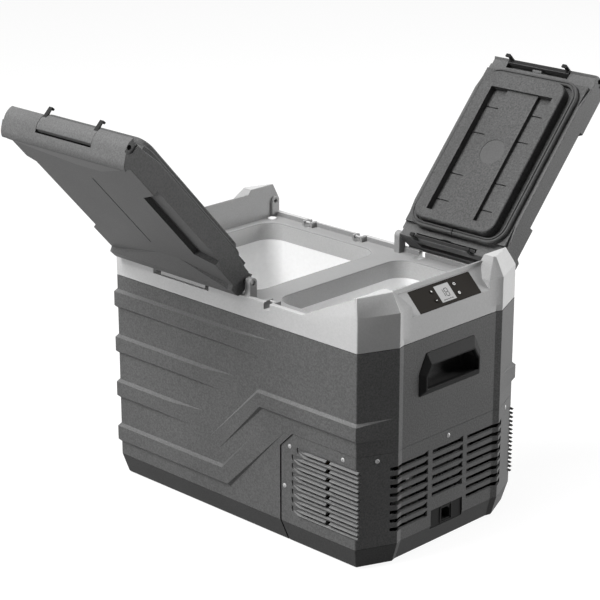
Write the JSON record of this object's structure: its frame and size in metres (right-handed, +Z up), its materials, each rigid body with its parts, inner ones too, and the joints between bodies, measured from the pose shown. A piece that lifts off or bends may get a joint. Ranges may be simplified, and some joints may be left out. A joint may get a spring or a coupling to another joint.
{
  "type": "compressor cooler fridge",
  "caption": "Portable chest fridge with separate compartments under lids that open to opposite sides, a louvred compressor bay, sloped control panel and end handles.",
  "frame": {"origin": "centre of the footprint, on the floor under the rubber feet", "axes": "+X towards the control panel end, -Y the front face with the louvres at its right, +Z up; both lids stand open, the left one to the front and the right one to the back"},
  "size_m": [0.598, 0.8246, 0.6833],
  "materials": {
    "case_grey": "fine moulded texture",
    "base_grey": "moulded texture",
    "rim_grey": "satin moulded",
    "throat_grey": "satin moulded",
    "tub_white": "smooth",
    "foam": "closed-cell foam",
    "lid_grey": "fine moulded texture",
    "liner_grey": "fine moulded texture",
    "seal_black": "soft",
    "black_plastic": "moulded",
    "panel_black": "film",
    "display_glass": "clear",
    "button_white": "smooth",
    "steel": "plain",
    "aluminium": "plain",
    "copper": "drawn tube",
    "board_green": "solder resist",
    "enamel_black": "enamel"
  },
  "bodies": {
    "case": {"case_shell": "case_grey", "base_pan": "base_grey", "rubber_feet": "seal_black", "upper_rim": "rim_grey", "left_throat": "throat_grey", "right_throat": "throat_grey", "left_tub": "tub_white", "right_tub": "tub_white", "foam_insulation": "foam", "left_evaporator": "aluminium", "right_evaporator": "aluminium", "vent_panel": "case_grey", "vent_screws": "steel", "left_handle_cup": "black_plastic", "right_handle_cup": "black_plastic", "inlet_plate": "black_plastic", "power_inlet": "black_plastic", "compressor_tray": "steel", "compressor_grommets": "seal_black", "compressor": "enamel_black", "condenser": "aluminium", "fan_shroud": "black_plastic", "drive_module": "aluminium", "refrigerant_pipes": "copper", "control_bezel": "panel_black", "display_window": "display_glass", "control_board": "board_green", "cabin_lamp": "button_white", "latch_keepers": "steel"},
    "left_lid": {"left_lid_cover": "lid_grey", "left_lid_liner": "liner_grey", "left_lid_gasket": "seal_black", "left_lid_foam": "foam", "left_hinge_pins": "steel", "left_latch_pins": "steel", "left_latch_springs": "steel"},
    "right_lid": {"right_lid_cover": "lid_grey", "right_lid_liner": "liner_grey", "right_lid_gasket": "seal_black", "right_lid_foam": "foam", "right_hinge_pins": "steel", "right_latch_pins": "steel", "right_latch_springs": "steel"},
    "left_front_latch": {"left_front_latch": "lid_grey"},
    "left_rear_latch": {"left_rear_latch": "lid_grey"},
    "right_front_latch": {"right_front_latch": "lid_grey"},
    "right_rear_latch": {"right_rear_latch": "lid_grey"},
    "plus_button": {"plus_button": "button_white"},
    "minus_button": {"minus_button": "button_white"},
    "power_button": {"power_button": "button_white"},
    "set_button": {"set_button": "button_white"},
    "fan": {"fan_rotor": "black_plastic"}
  },
  "joints": [
    {"name": "left_lid_hinge", "type": "hinge", "parent": "case", "child": "left_lid", "pos_m": [-0.1147, -0.171, 0.406], "axis": [1, 0, 0], "range_deg": [-132, 0]},
    {"name": "right_lid_hinge", "type": "hinge", "parent": "case", "child": "right_lid", "pos_m": [0.1489, 0.171, 0.406], "axis": [-1, 0, 0], "range_deg": [-132, 0]},
    {"name": "left_front_latch_pull", "type": "hinge", "parent": "left_lid", "child": "left_front_latch", "pos_m": [-0.113, -0.1788, 0.4057], "axis": [-1, 0, 0], "range_deg": [-6, 25], "stiffness_Nm_per_rad": 0.3},
    {"name": "left_rear_latch_pull", "type": "hinge", "parent": "left_lid", "child": "left_rear_latch", "pos_m": [-0.113, -0.40096, 0.65243], "axis": [1, 0, 0], "range_deg": [-6, 25], "stiffness_Nm_per_rad": 0.3},
    {"name": "right_front_latch_pull", "type": "hinge", "parent": "right_lid", "child": "right_front_latch", "pos_m": [0.138, 0.40096, 0.65243], "axis": [-1, 0, 0], "range_deg": [-6, 25], "stiffness_Nm_per_rad": 0.3},
    {"name": "right_rear_latch_pull", "type": "hinge", "parent": "right_lid", "child": "right_rear_latch", "pos_m": [0.138, 0.1788, 0.4057], "axis": [1, 0, 0], "range_deg": [-6, 25], "stiffness_Nm_per_rad": 0.3},
    {"name": "plus_press", "type": "slide", "parent": "case", "child": "plus_button", "axis": [-0.7071, 0, -0.7071], "range_m": [0, 0.0008], "stiffness_N_per_m": 600},
    {"name": "minus_press", "type": "slide", "parent": "case", "child": "minus_button", "axis": [-0.7071, 0, -0.7071], "range_m": [0, 0.0008], "stiffness_N_per_m": 600},
    {"name": "power_press", "type": "slide", "parent": "case", "child": "power_button", "axis": [-0.7071, 0, -0.7071], "range_m": [0, 0.0008], "stiffness_N_per_m": 600},
    {"name": "set_press", "type": "slide", "parent": "case", "child": "set_button", "axis": [-0.7071, 0, -0.7071], "range_m": [0, 0.0008], "stiffness_N_per_m": 600},
    {"name": "fan_spin", "type": "hinge", "parent": "case", "child": "fan", "pos_m": [0.2485, 0.042, 0.104], "axis": [1, 0, 0], "continuous": true}
  ]
}
